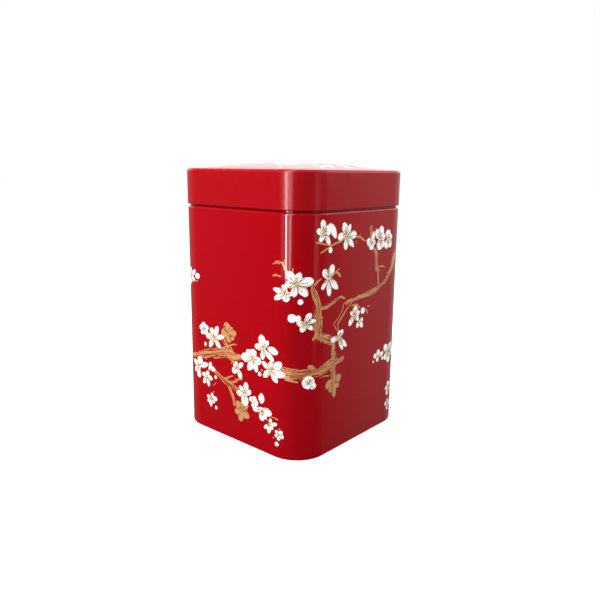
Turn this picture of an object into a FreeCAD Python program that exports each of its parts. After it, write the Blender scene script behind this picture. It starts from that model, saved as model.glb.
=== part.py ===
# Square tea caddy in lithographed tinplate, with rounded upright corners.
# A printed wall with a stepped-in neck, a seamed-in bottom, a drawn slip lid with a
# cushion-shaped top, and a press-in inner lid with a riveted knob.
#
# Frame: the origin is on the table under the middle of the tin, +Z is up, the front
# face looks along -Y and the right-hand face along +X. Millimetres throughout.
import FreeCAD
import Part
import math
import os

Vector = FreeCAD.Vector

# ---------------------------------------------------------------- driving dimensions
body_width = 78.0  # outside, across the right and left faces (X)
body_depth = 78.0  # outside, across the front and back faces (Y)
corner_radius = 14.5  # outside, on the upright corners of the wall
shoulder_height = 104.8  # table to the top of the printed wall, where it steps in
sheet = 0.25  # thickness of the tinplate

# wall: foot seam, shoulder and neck rim
seam_play = 0.03  # between the layers of the clinched foot seam
foot_seam_height = 2.2  # how far the wall's folded edge returns up inside
fold_bend_radius = 0.18  # the two bends of the fold at the foot, middle of the sheet
shoulder_radius = 0.85  # outside radius of the shoulder
rim_curl_radius = 0.575  # outside radius of the inward curl on the neck

# side seam, on the back face
side_seam_x = -17.0  # middle of the seam
side_seam_width = 3.6  # width of the folded ridge inside
side_seam_layers = 3  # layers of sheet that the ridge adds inside the wall
side_seam_line = 0.3  # width of the hairline that shows outside
side_seam_line_depth = 0.1

# bottom plate
bottom_recess = 2.9  # table to the underside of the plate's border
plate_bend_radius = 0.5  # middle of the sheet
plate_step_inset = 6.5  # wall to the start of the raised field
step_bend_radius = 1.0  # the two bends of a raised field, middle of the sheet
step_bend_angle = 45.0

# slip lid
lid_height = 16.0  # lower edge to the flat border of its top
lid_gap = 0.8  # shadow gap between the shoulder and the lid
lid_outset = 0.2  # how far the lid stands proud of the wall below it
lid_hem_radius = 0.475  # outside radius of the curl on the lid's lower edge
lid_edge_radius = 1.2  # outside radius round the top
lid_clearance = 0.35  # between the lid's hem and the neck
dome_inset = 7.0  # width of the flat border round the dome
dome_rise = 2.5
dome_sections = 7  # rounded outlines that the dome is lofted through
dome_crown_share = 0.94  # share of the way to the middle where the last of them lies
dome_fullness = 3  # power of the curve that the dome rises by

# press-in inner lid
inner_lid_headroom = 0.5  # between the inner lid and the slip lid above it
plug_clearance = 0.25  # between the plug wall and the curl of the neck
plug_depth = 8.0  # top of the flange to the top of the panel
flange_play = 0.05  # inside the flat hem of the flange
flange_hem_width = 1.0  # how far the hem is folded under
plug_top_bend = 0.4  # bend radii at the middle of the sheet
plug_bottom_bend = 0.9
plug_step_inset = 4.0  # plug wall to the start of the raised field

# knob and rivet
knob_height = 6.2
knob_head_radius = 7.5
knob_neck_radius = 3.6
knob_base_radius = 5.2
knob_base_edge = 0.6
knob_waist_height = 2.4
knob_brim_edge = 0.7
knob_crown_rise = 1.3
rivet_radius = 1.5
rivet_clearance = 0.03
rivet_reach = 4.0  # how far the shank goes up into the knob
rivet_head_radius = 3.0
rivet_head_height = 0.9

# ---------------------------------------------------------------- places worked out from them
half_sheet = sheet / 2
up_axis = Vector(0, 0, 1)
lid_foot = shoulder_height + lid_gap
lid_top = lid_foot + lid_height
neck_inset = 2 * lid_hem_radius - lid_outset + lid_clearance
flange_top = lid_top - sheet - inner_lid_headroom
flange_bend_radius = half_sheet + flange_play / 2
neck_top = flange_top - 2 * flange_bend_radius - sheet
mouth_inset = neck_inset + 2 * rim_curl_radius
plug_inset = mouth_inset + plug_clearance
panel_top = flange_top - plug_depth
step_rise = 2 * step_bend_radius * (1 - math.cos(math.radians(step_bend_angle)))
step_run = 2 * step_bend_radius * math.sin(math.radians(step_bend_angle))
field_margin = 1.0  # flat that a section carries on past its raised step


# ---------------------------------------------------------------- bent sheet
def beside(middle, heading, side):
    """The point beside the middle of the sheet, a distance to the left of its heading."""
    turn = math.radians(heading)
    return Vector(
        side * math.sin(turn) - middle[0],
        0,
        middle[1] + side * math.cos(turn),
    )


def bent_strip(start, heading, moves):
    """The cut face of a strip of sheet that is bent along a path.

    start is (inset, z) at the middle of the sheet, where inset is measured inwards from
    the outside of the wall. heading is in degrees, 0 inwards and 90 up. A move is
    ("run", length) or ("bend", radius, angle), with a positive angle turning left.
    """
    sides = (half_sheet, -half_sheet)
    middle = start
    corners = [beside(middle, heading, side) for side in sides]
    edges = [Part.makeLine(corners[1], corners[0])]
    for move in moves:
        if move[0] == "run":
            turn = math.radians(heading)
            middle = (
                middle[0] + move[1] * math.cos(turn),
                middle[1] + move[1] * math.sin(turn),
            )
            ends = [beside(middle, heading, side) for side in sides]
            edges += [Part.makeLine(corner, end) for corner, end in zip(corners, ends)]
        else:
            radius, angle = move[1:]
            toward = math.copysign(radius, angle)
            pivot = beside(middle, heading, toward)
            centre = (-pivot.x, pivot.z)
            halfway = [beside(centre, heading + angle / 2, side - toward) for side in sides]
            heading += angle
            ends = [beside(centre, heading, side - toward) for side in sides]
            edges += [Part.Arc(*points).toShape() for points in zip(corners, halfway, ends)]
            last = beside(centre, heading, -toward)
            middle = (-last.x, last.z)
        corners = ends
    edges.append(Part.makeLine(corners[0], corners[1]))
    return Part.Face(Part.Wire(Part.sortEdges(edges)[0]))


def around_walls(section):
    """Carries a section once round the rounded rectangle of the wall, as one solid."""
    pieces = []
    for quarter in range(4):
        across, along = (body_width, body_depth) if quarter % 2 == 0 else (body_depth, body_width)
        flat = along / 2 - corner_radius
        side = section.translated(Vector(across / 2, -flat, 0))
        straight = side.extrude(Vector(0, 2 * flat, 0))
        corner_side = section.translated(Vector(across / 2, flat, 0))
        corner_centre = Vector(across / 2 - corner_radius, flat, 0)
        corner = corner_side.revolve(corner_centre, up_axis, 90)
        for piece in (straight, corner):
            piece.rotate(Vector(0, 0, 0), up_axis, 90 * quarter)
            pieces.append(piece)
    return pieces[0].multiFuse(pieces[1:]).removeSplitter()


def rounded_outline(half_x, half_y, radius, z):
    """A rounded rectangle about the Z axis, as a closed wire at height z."""
    edges = []
    corners = [(1, 1, 0), (-1, 1, 90), (-1, -1, 180), (1, -1, 270)]
    arcs = []
    for sign_x, sign_y, begin in corners:
        centre = Vector(sign_x * (half_x - radius), sign_y * (half_y - radius), z)
        arcs.append(
            [
                centre + Vector(math.cos(a), math.sin(a), 0) * radius
                for a in (math.radians(begin + turn) for turn in (0, 45, 90))
            ]
        )
    for number, arc in enumerate(arcs):
        edges.append(Part.Arc(*arc).toShape())
        edges.append(Part.makeLine(arc[2], arcs[(number + 1) % 4][0]))
    return Part.Wire(edges)


def plate(inset, underside):
    """A flat piece of sheet that fills the wall's outline from that inset inwards."""
    outline = rounded_outline(
        body_width / 2 - inset, body_depth / 2 - inset, corner_radius - inset, underside
    )
    return Part.Face(outline).extrude(Vector(0, 0, sheet))


def raised_step():
    """Moves that lift a panel by step_rise over step_run."""
    return [
        ("bend", step_bend_radius, step_bend_angle),
        ("bend", step_bend_radius, -step_bend_angle),
        ("run", field_margin),
    ]


# ---------------------------------------------------------------- the pieces
def body_wall():
    """Printed wall: foot fold, upright face, shoulder, neck and curled rim, one sheet."""
    seam_step = sheet + seam_play
    fold_foot = fold_bend_radius + half_sheet
    shoulder_bend = shoulder_radius - half_sheet
    neck_bend = neck_inset - shoulder_bend
    curl_bend = rim_curl_radius - half_sheet
    neck_run = neck_top - rim_curl_radius - shoulder_height + half_sheet - neck_bend
    section = bent_strip(
        (half_sheet + 2 * seam_step, foot_seam_height),
        -90,
        [
            ("run", foot_seam_height - fold_foot),
            ("bend", fold_bend_radius, -90),
            ("run", 2 * (seam_step - fold_bend_radius)),
            ("bend", fold_bend_radius, -90),
            ("run", shoulder_height - shoulder_radius - fold_foot),
            ("bend", shoulder_bend, -90),
            ("bend", neck_bend, 90),
            ("run", neck_run),
            ("bend", curl_bend, -270),
        ],
    )
    wall = around_walls(section)

    seam_foot = foot_seam_height + bottom_recess
    seam_top = shoulder_height - shoulder_radius
    inner_face = body_depth / 2 - sheet
    ridge_depth = side_seam_layers * sheet
    ridge = Part.makeBox(
        side_seam_width,
        ridge_depth,
        seam_top - seam_foot,
        Vector(side_seam_x - side_seam_width / 2, inner_face - ridge_depth, seam_foot),
    )
    hairline = Part.makeBox(
        side_seam_line,
        2 * side_seam_line_depth,
        seam_top - foot_seam_height,
        Vector(
            side_seam_x - side_seam_line / 2,
            body_depth / 2 - side_seam_line_depth,
            foot_seam_height,
        ),
    )
    return wall.fuse(ridge).removeSplitter().cut(hairline)


def bottom_plate():
    """Bottom: its turned-down edge is held in the wall's foot fold, its field is raised."""
    skirt_middle = half_sheet + sheet + seam_play
    skirt_foot = sheet + 2 * seam_play
    border_middle = bottom_recess + half_sheet
    border_run = plate_step_inset - skirt_middle - plate_bend_radius
    section = bent_strip(
        (skirt_middle, skirt_foot),
        90,
        [
            ("run", border_middle - plate_bend_radius - skirt_foot),
            ("bend", plate_bend_radius, -90),
            ("run", border_run),
        ]
        + raised_step(),
    )
    field = plate(plate_step_inset + step_run + field_margin / 2, bottom_recess + step_rise)
    return around_walls(section).fuse(field).removeSplitter()


def dome_solid(underside):
    """The space under the lid's cushion-shaped top, from that height upwards."""
    start_x = body_width / 2 - dome_inset
    start_y = body_depth / 2 - dome_inset
    start_radius = corner_radius - dome_inset
    outlines = []
    for section in range(dome_sections):
        share = dome_crown_share * section / (dome_sections - 1)
        half_x = start_x * (1 - share)
        half_y = start_y * (1 - share)
        nearly_round = 0.98 * min(half_x, half_y)
        radius = start_radius * (1 - share) ** 2 + nearly_round * share
        rise = dome_rise * (1 - (1 - share) ** dome_fullness)
        outlines.append(rounded_outline(half_x, half_y, min(radius, nearly_round), underside + rise))
    return Part.makeLoft(outlines, True, False)


def slip_lid():
    """Drawn lid: curled lower edge, plain skirt, flat border and a domed middle."""
    hem_bend = lid_hem_radius - half_sheet
    edge_bend = lid_edge_radius - half_sheet
    skirt_middle = half_sheet - lid_outset
    hem_middle = lid_foot + lid_hem_radius
    skirt_run = lid_top - lid_edge_radius - hem_middle
    border_run = dome_inset - skirt_middle - edge_bend
    section = bent_strip(
        (skirt_middle + hem_bend, hem_middle + hem_bend),
        0,
        [
            ("bend", hem_bend, -270),
            ("run", skirt_run),
            ("bend", edge_bend, -90),
            ("run", border_run),
        ],
    )
    dome = plate(dome_inset, lid_top - sheet).fuse(dome_solid(lid_top))
    dome = dome.cut(dome_solid(lid_top - sheet))
    return around_walls(section).fuse(dome).removeSplitter()


def inner_lid():
    """Press-in lid: hemmed flange on the rim, plug wall, panel with a raised field."""
    flange_middle = flange_top - half_sheet
    hem_middle = flange_middle - 2 * flange_bend_radius
    hem_turn_inset = neck_inset + half_sheet + flange_bend_radius
    plug_middle = plug_inset + half_sheet
    flange_run = plug_middle - plug_top_bend - hem_turn_inset
    panel_middle = panel_top - half_sheet
    plug_run = flange_middle - plug_top_bend - plug_bottom_bend - panel_middle
    section = bent_strip(
        (hem_turn_inset + flange_hem_width - flange_bend_radius, hem_middle),
        180,
        [
            ("run", flange_hem_width - flange_bend_radius),
            ("bend", flange_bend_radius, -180),
            ("run", flange_run),
            ("bend", plug_top_bend, -90),
            ("run", plug_run),
            ("bend", plug_bottom_bend, 90),
            ("run", plug_step_inset - plug_bottom_bend),
        ]
        + raised_step(),
    )
    field_inset = plug_middle + plug_step_inset + step_run + field_margin / 2
    lid = around_walls(section).fuse(plate(field_inset, panel_top - sheet + step_rise))
    rivet_hole = Part.makeCylinder(
        rivet_radius + rivet_clearance, 3 * sheet, Vector(0, 0, panel_top + step_rise - 2 * sheet)
    )
    return lid.removeSplitter().cut(rivet_hole)


def cap_edge(rim_radius, rim_height, crown_height):
    """Half of a round cap's outline, from its rim to its crown, centred on the Z axis."""
    rise = crown_height - rim_height
    ball = (rim_radius**2 + rise**2) / (2 * rise)
    half_angle = math.asin(rim_radius / abs(ball)) / 2
    centre_height = crown_height - ball
    middle = Vector(
        abs(ball) * math.sin(half_angle), 0, centre_height + ball * math.cos(half_angle)
    )
    return Part.Arc(Vector(rim_radius, 0, rim_height), middle, Vector(0, 0, crown_height)).toShape()


def lathe_solid(edges):
    """A solid of revolution about the Z axis from its half outline."""
    return Part.Face(Part.Wire(edges)).revolve(Vector(0, 0, 0), up_axis, 360)


def inner_lid_knob():
    """Turned mushroom knob that stands on the inner lid, bored from below for its rivet."""
    foot = panel_top + step_rise
    base_top = foot + knob_base_edge
    waist = foot + knob_waist_height
    brim_foot = foot + knob_height - knob_crown_rise - knob_brim_edge
    brim_top = brim_foot + knob_brim_edge
    crown = foot + knob_height

    def at(radius, height):
        return Vector(radius, 0, height)

    def hollow(start, end, share_out, share_up):
        across = start.x + share_out * (end.x - start.x)
        along = start.z + share_up * (end.z - start.z)
        return Part.Arc(start, at(across, along), end).toShape()

    base_corner = at(knob_base_radius, base_top)
    waist_point = at(knob_neck_radius, waist)
    brim_corner = at(knob_head_radius, brim_foot)
    knob = lathe_solid(
        [
            Part.makeLine(at(0, foot), at(knob_base_radius, foot)),
            Part.makeLine(at(knob_base_radius, foot), base_corner),
            hollow(base_corner, waist_point, 0.7, 0.4),
            hollow(waist_point, brim_corner, 0.3, 0.6),
            Part.makeLine(brim_corner, at(knob_head_radius, brim_top)),
            cap_edge(knob_head_radius, brim_top, crown),
            Part.makeLine(at(0, crown), at(0, foot)),
        ]
    )
    bore = Part.makeCylinder(
        rivet_radius + rivet_clearance, rivet_reach + rivet_clearance, Vector(0, 0, foot)
    )
    return knob.cut(bore)


def knob_rivet():
    """Rivet up through the inner lid into the knob, with a low round head underneath."""
    underside = panel_top + step_rise - sheet
    tip = underside + sheet + rivet_reach
    head_crown = underside - rivet_head_height
    return lathe_solid(
        [
            cap_edge(rivet_head_radius, underside, head_crown),
            Part.makeLine(Vector(0, 0, head_crown), Vector(0, 0, tip)),
            Part.makeLine(Vector(0, 0, tip), Vector(rivet_radius, 0, tip)),
            Part.makeLine(Vector(rivet_radius, 0, tip), Vector(rivet_radius, 0, underside)),
            Part.makeLine(Vector(rivet_radius, 0, underside), Vector(rivet_head_radius, 0, underside)),
        ]
    )


# ---------------------------------------------------------------- one STEP file per piece
pieces = {
    "body_wall": body_wall,
    "bottom_plate": bottom_plate,
    "slip_lid": slip_lid,
    "inner_lid": inner_lid,
    "inner_lid_knob": inner_lid_knob,
    "knob_rivet": knob_rivet,
}
os.makedirs("parts", exist_ok=True)
for name, build in pieces.items():
    shape = build()
    solids = shape.Solids
    sound = shape.isValid() and all(solid.isValid() and solid.Volume > 0 for solid in solids)
    box = shape.BoundBox
    print(
        f"{name}: {len(solids)} solid, sound {sound}, volume {shape.Volume:.1f} mm3, "
        f"z {box.ZMin:.2f} to {box.ZMax:.2f}, x {box.XMin:.2f} to {box.XMax:.2f}"
    )
    if len(solids) != 1 or not sound:
        raise ValueError(f"{name} is not one sound solid")
    solids[0].exportStep(f"parts/{name}.step")
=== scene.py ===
import math
import random

import bmesh
import bpy
from mathutils import Matrix, Vector
from mathutils.geometry import interpolate_bezier


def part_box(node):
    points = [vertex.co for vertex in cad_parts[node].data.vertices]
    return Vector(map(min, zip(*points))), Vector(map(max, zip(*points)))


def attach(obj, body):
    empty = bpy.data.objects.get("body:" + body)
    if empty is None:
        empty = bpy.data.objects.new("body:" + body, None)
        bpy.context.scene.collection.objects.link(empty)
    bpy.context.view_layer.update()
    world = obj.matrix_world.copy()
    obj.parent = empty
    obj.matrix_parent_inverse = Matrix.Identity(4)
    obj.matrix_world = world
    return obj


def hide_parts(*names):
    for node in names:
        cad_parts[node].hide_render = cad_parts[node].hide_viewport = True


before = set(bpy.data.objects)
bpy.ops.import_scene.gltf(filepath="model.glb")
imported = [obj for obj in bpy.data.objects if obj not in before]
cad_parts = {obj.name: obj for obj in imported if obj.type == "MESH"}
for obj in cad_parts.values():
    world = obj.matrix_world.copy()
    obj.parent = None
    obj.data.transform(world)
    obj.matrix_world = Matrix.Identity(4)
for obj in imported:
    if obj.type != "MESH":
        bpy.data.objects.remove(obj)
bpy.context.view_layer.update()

# ------------------------------------------------------------------ camera
# It looks down a little on the upright corner between the front and the right-hand
# face, from about 0.3 m away.
camera = bpy.data.objects.new("camera", bpy.data.cameras.new("camera"))
bpy.context.scene.collection.objects.link(camera)
camera.data.sensor_width = 36.0
camera.data.lens = 35.82
camera.data.clip_start = 0.01
camera.location = (0.1879, -0.2120, 0.1216)
camera.rotation_euler = (
    Matrix.Rotation(math.radians(40.90), 3, "Z")
    @ Matrix.Rotation(math.radians(77.64), 3, "X")
    @ Matrix.Rotation(math.radians(0.73), 3, "Z")
).to_euler()
bpy.context.scene.camera = camera

# ------------------------------------------------------------------ printed wall
# One strip of tinplate goes round the tin. It is folded in at the foot round the bottom
# plate, stepped in at the shoulder to a neck, and curled over at the rim. The outside is
# printed red and varnished to a high gloss, and the inside is left bare.
mm = 0.001
half_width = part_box("body_wall")[1].x / mm
shoulder_height = 104.8
corner_radius = 14.5
flat_half = half_width - corner_radius
sheet = 0.25
corner_steps = 24
edge_band = 0.4
corner_arc = corner_radius * math.pi / 2
girth = 4 * (2 * flat_half + corner_arc)


def corners_in(made):
    """The corners among what a mesh operation has made."""
    return [part for part in made if isinstance(part, bmesh.types.BMVert)]


def next_corner(bm, tip, place):
    """Draws an edge on from a corner to a place, and returns the new corner."""
    tip = bmesh.ops.extrude_vert_indiv(bm, verts=[tip])["verts"][0]
    tip.co = place
    return tip


def bend_sheet(bm, inset, height, heading, moves):
    """Draws the middle of a bent sheet as edges at the start of the right-hand face.

    inset is measured inwards from the outside of the wall. heading is in degrees, 0
    inwards and 90 up. A move is ("run", length) or ("bend", radius, angle), and a
    positive angle turns left.
    """
    tip = bm.verts.new((half_width - inset, -flat_half, height))
    for move in moves:
        turn = math.radians(heading)
        if move[0] == "run":
            length = move[1]
            parts = (edge_band, length - 2 * edge_band, edge_band) if length > 2.0 else (length,)
            for part in parts:
                step = Vector((-math.cos(turn), 0, math.sin(turn))) * part
                tip = next_corner(bm, tip, tip.co + step)
        else:
            radius, angle = move[1:]
            toward = math.copysign(radius, angle)
            pivot = tip.co + Vector((math.sin(turn), 0, math.cos(turn))) * toward
            steps = max(3, round(abs(angle) / (22.5 if radius < 0.3 else 15.0)))
            last = bmesh.ops.spin(
                bm, geom=[tip], cent=pivot, axis=(0, 1, 0), angle=math.radians(angle), steps=steps
            )["geom_last"]
            tip = corners_in(last)[0]
            heading += angle


def draw_straight(bm, profile, step):
    """Carries drawn edges straight along a step, and returns the far end."""
    return bmesh.ops.spin(
        bm, geom=profile, cent=(0, 0, 0), axis=(0, 0, 1), dvec=step, angle=0.0, steps=1
    )["geom_last"]


def carry_round(bm, stops_at_back=()):
    """Carries the drawn edges once round the four flats and the four corners."""
    profile = bm.verts[:] + bm.edges[:]
    for quarter in range(4):
        turned = Matrix.Rotation(math.radians(90 * quarter), 3, "Z")
        stops = [-flat_half, edge_band - flat_half, flat_half - edge_band, flat_half]
        if quarter == 1:
            stops = sorted(stops + [-place for place in stops_at_back])
        for start, end in zip(stops, stops[1:]):
            profile = draw_straight(bm, profile, turned @ Vector((0, end - start, 0)))
        profile = bmesh.ops.spin(
            bm,
            geom=profile,
            cent=turned @ Vector((flat_half, flat_half, 0)),
            axis=(0, 0, 1),
            angle=math.radians(90),
            steps=corner_steps,
        )["geom_last"]
    bmesh.ops.remove_doubles(bm, verts=bm.verts, dist=0.005)


def make_piece(bm, name, finishes):
    """Turns a mesh drawn in millimetres into a smooth-shaded piece in metres."""
    bmesh.ops.scale(bm, vec=(mm, mm, mm), verts=bm.verts)
    mesh = bpy.data.meshes.new(name)
    bm.to_mesh(mesh)
    bm.free()
    mesh.shade_smooth()
    piece = bpy.data.objects.new(name, mesh)
    bpy.context.scene.collection.objects.link(piece)
    for finish in finishes:
        mesh.materials.append(finish)
    return piece


def face_outwards(bm):
    """Turns every face the way of the widest one, which looks away from the tin."""
    bmesh.ops.recalc_face_normals(bm, faces=bm.faces)
    widest = max(bm.faces, key=lambda face: face.calc_area())
    widest.normal_update()
    middle = widest.calc_center_median()
    if widest.normal.dot(Vector((middle.x, middle.y, 0))) < 0:
        bmesh.ops.reverse_faces(bm, faces=bm.faces)


def give_thickness(piece, printed_outside, thickness=sheet):
    """Gives a piece its thickness, and its second finish inside if it is printed."""
    layer = piece.modifiers.new("sheet", "SOLIDIFY")
    layer.thickness = thickness * mm
    layer.offset = 0.0
    layer.use_even_offset = True
    layer.material_offset = 1 if printed_outside else 0


def new_node(tree, kind, **inputs):
    """Adds a shader node and sets its inputs, with _ for the space in a socket's name."""
    node = tree.nodes.new("ShaderNode" + kind)
    for socket, value in inputs.items():
        node.inputs[socket.replace("_", " ")].default_value = value
    return node


def worked_out(tree, operation, *sources, kind="Math"):
    """The result of a maths node that works on sockets or numbers."""
    node = new_node(tree, kind)
    node.operation = operation
    for socket, source in zip(node.inputs, sources):
        if isinstance(source, float):
            socket.default_value = source
        else:
            tree.links.new(source, socket)
    return node.outputs[0]


def new_group(name, inputs, outputs):
    """A shader node group with float inputs and outputs, and its two end nodes."""
    tree = bpy.data.node_groups.new(name, "ShaderNodeTree")
    for socket, value in inputs.items():
        made = tree.interface.new_socket(socket, in_out="INPUT", socket_type="NodeSocketFloat")
        made.default_value = value
    for socket in outputs:
        tree.interface.new_socket(socket, in_out="OUTPUT", socket_type="NodeSocketFloat")
    return tree, tree.nodes.new("NodeGroupInput"), tree.nodes.new("NodeGroupOutput")


# Varnished sheet: slow waves where the plate was rolled, the fine peel of the varnish,
# and the mottle of the ink under it.
printed_sheet, group_in, group_out = new_group(
    "printed_sheet", {"Peel Scale": 900.0, "Mottle Scale": 2200.0}, ("Height", "Mottle", "Haze")
)
place = new_node(printed_sheet, "TexCoord")
waves = new_node(printed_sheet, "TexNoise", Scale=38.0, Detail=1.0)
peel = new_node(printed_sheet, "TexNoise", Detail=2.0)
mottle = new_node(printed_sheet, "TexNoise", Detail=3.0)
haze = new_node(printed_sheet, "TexNoise", Scale=130.0, Detail=4.0)
for noise in (waves, peel, mottle, haze):
    printed_sheet.links.new(place.outputs["Object"], noise.inputs["Vector"])
printed_sheet.links.new(group_in.outputs["Peel Scale"], peel.inputs["Scale"])
printed_sheet.links.new(group_in.outputs["Mottle Scale"], mottle.inputs["Scale"])
peel_share = 0.02
both = worked_out(
    printed_sheet, "MULTIPLY_ADD", peel.outputs["Fac"], peel_share, waves.outputs["Fac"]
)
printed_sheet.links.new(both, group_out.inputs["Height"])
printed_sheet.links.new(mottle.outputs["Fac"], group_out.inputs["Mottle"])
printed_sheet.links.new(haze.outputs["Fac"], group_out.inputs["Haze"])


def new_finish(name):
    """An empty finish, with its node tree and its shader."""
    finish = bpy.data.materials.new(name)
    finish.use_nodes = True
    return finish, finish.node_tree, finish.node_tree.nodes["Principled BSDF"]


def spread(tree, source, socket, low_value, high_value, low_at=0.3, high_at=0.7):
    """Feeds a socket from a mask, stretched between two values."""
    stretch = new_node(
        tree, "MapRange", From_Min=low_at, From_Max=high_at, To_Min=low_value, To_Max=high_value
    )
    tree.links.new(source, stretch.inputs["Value"])
    tree.links.new(stretch.outputs["Result"], socket)


def two_tones(tree, mask, first, second, low_at=0.3, high_at=0.7):
    """A colour that goes from the first tone to the second with a mask."""
    ramp = new_node(tree, "ValToRGB")
    for element, at, tone in zip(ramp.color_ramp.elements, (low_at, high_at), (first, second)):
        element.position = at
        element.color = (*tone, 1)
    tree.links.new(mask, ramp.inputs["Fac"])
    return ramp.outputs["Color"]


def raise_with(tree, source, shader, strength, distance):
    """Bumps a finish by a height."""
    bump = new_node(tree, "Bump", Strength=strength, Distance=distance)
    tree.links.new(source, bump.inputs["Height"])
    tree.links.new(bump.outputs["Normal"], shader.inputs["Normal"])


def varnish_over(tree, shader, roughness, ripple, tones=None, peel=900.0, mottle=1500.0):
    """Lays the varnish's gloss and ripple over a finish, and the ink's two tones if given."""
    skin = new_node(tree, "Group")
    skin.node_tree = printed_sheet
    skin.inputs["Peel Scale"].default_value = peel
    skin.inputs["Mottle Scale"].default_value = mottle
    spread(tree, skin.outputs["Haze"], shader.inputs["Roughness"], *roughness)
    raise_with(tree, skin.outputs["Height"], shader, ripple, 0.0002)
    if tones:
        ink_tone = two_tones(tree, skin.outputs["Mottle"], *tones)
        tree.links.new(ink_tone, shader.inputs["Base Color"])


gloss = (0.035, 0.055)
red_gloss, tree, shader = new_finish("red_gloss_print")
red = (0.295, 0.0020, 0.0052), (0.312, 0.0026, 0.0064)
varnish_over(tree, shader, gloss, 0.2, red, mottle=2200.0)

# Bare tinplate: the fine lines left by rolling, and the faint spangle of the tin.
rolled_tin, group_in, group_out = new_group("rolled_tin", {"Line Scale": 1400.0}, ("Lines", "Spangle"))
place = new_node(rolled_tin, "TexCoord")
stretched = new_node(rolled_tin, "Mapping", Scale=(1.0, 1.0, 0.02))
lines = new_node(rolled_tin, "TexNoise", Detail=2.0)
spangle = new_node(rolled_tin, "TexVoronoi", Scale=420.0)
grey = new_node(rolled_tin, "SeparateColor")
rolled_tin.links.new(place.outputs["Object"], stretched.inputs["Vector"])
rolled_tin.links.new(group_in.outputs["Line Scale"], lines.inputs["Scale"])
rolled_tin.links.new(stretched.outputs["Vector"], lines.inputs["Vector"])
rolled_tin.links.new(place.outputs["Object"], spangle.inputs["Vector"])
rolled_tin.links.new(spangle.outputs["Color"], grey.inputs["Color"])
rolled_tin.links.new(lines.outputs["Fac"], group_out.inputs["Lines"])
rolled_tin.links.new(grey.outputs["Red"], group_out.inputs["Spangle"])

bare_tin, tree, shader = new_finish("bare_tinplate")
shader.inputs["Metallic"].default_value = 1.0
skin = new_node(tree, "Group")
skin.node_tree = rolled_tin
tin_tone = two_tones(tree, skin.outputs["Spangle"], (0.55, 0.56, 0.57), (0.66, 0.66, 0.65), 0.0, 1.0)
tree.links.new(tin_tone, shader.inputs["Base Color"])
spread(tree, skin.outputs["Lines"], shader.inputs["Roughness"], 0.27, 0.36)
raise_with(tree, skin.outputs["Lines"], shader, 0.05, 0.00002)


def make_bare_sheet(bm, name, thickness=sheet):
    """Makes a piece of bare tinplate, with its faces turned outwards."""
    bmesh.ops.recalc_face_normals(bm, faces=bm.faces)
    piece = make_piece(bm, name, (bare_tin,))
    give_thickness(piece, False, thickness)
    return piece


# The foot fold, the upright wall, the step in at the shoulder, the neck and the curl.
wall_sheet = bmesh.new()
bend_sheet(
    wall_sheet, inset=0.685, height=2.2, heading=-90,
    moves=[("run", 1.895), ("bend", 0.18, -90), ("run", 0.2), ("bend", 0.18, -90),
           ("run", 103.645), ("bend", 0.725, -90), ("bend", 0.375, 90), ("run", 13.795),
           ("bend", 0.45, -270)],
)
side_seam_x = -17.0
hairline_half, hairline_depth = 0.15, 0.1
carry_round(wall_sheet, (side_seam_x - hairline_half, side_seam_x, side_seam_x + hairline_half))
for corner in wall_sheet.verts:
    on_seam = abs(corner.co.x - side_seam_x) < 0.02 and corner.co.y > half_width - 0.3
    if on_seam and 0.5 < corner.co.z < shoulder_height - 1:
        corner.co.y -= hairline_depth
face_outwards(wall_sheet)
wall = make_piece(wall_sheet, "wall", (red_gloss, bare_tin))
give_thickness(wall, True)
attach(wall, "tin")
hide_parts("body_wall")

# ------------------------------------------------------------------ side seam
# The two ends of the wall are hooked together and pressed flat, so that three layers of
# bare sheet stand up as a narrow ridge inside the back face.
seam_foot, seam_top = 5.1, 103.9
seam_width, first_layer, fold = 3.24, 0.375, 0.25
seam_sheet = 0.24
seam = bmesh.new()
tip = seam.verts.new((side_seam_x - seam_width / 2, half_width - first_layer, seam_foot))
for step, lift in ((seam_width, fold), (-seam_width, fold), (seam_width, 0.0)):
    tip = next_corner(seam, tip, tip.co + Vector((step, 0, 0)))
    if lift:
        centre = tip.co + Vector((0, -lift / 2, 0))
        turn = math.copysign(math.pi, -step)
        turned = bmesh.ops.spin(seam, geom=[tip], cent=centre, axis=(0, 0, 1), angle=turn, steps=6)
        tip = corners_in(turned["geom_last"])[0]
draw_straight(seam, seam.verts[:] + seam.edges[:], (0, 0, seam_top - seam_foot))
side_seam = make_bare_sheet(seam, "side_seam", seam_sheet)
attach(side_seam, "tin")

# ------------------------------------------------------------------ picture on the wall
# Plum blossom printed in white and gold over the red, under the varnish. The picture
# goes half way round the tin and is printed twice. Places are (distance round the wall
# from the middle of the front, height above the table).
ink_round = random.Random(7)
half_girth = girth / 2


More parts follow.
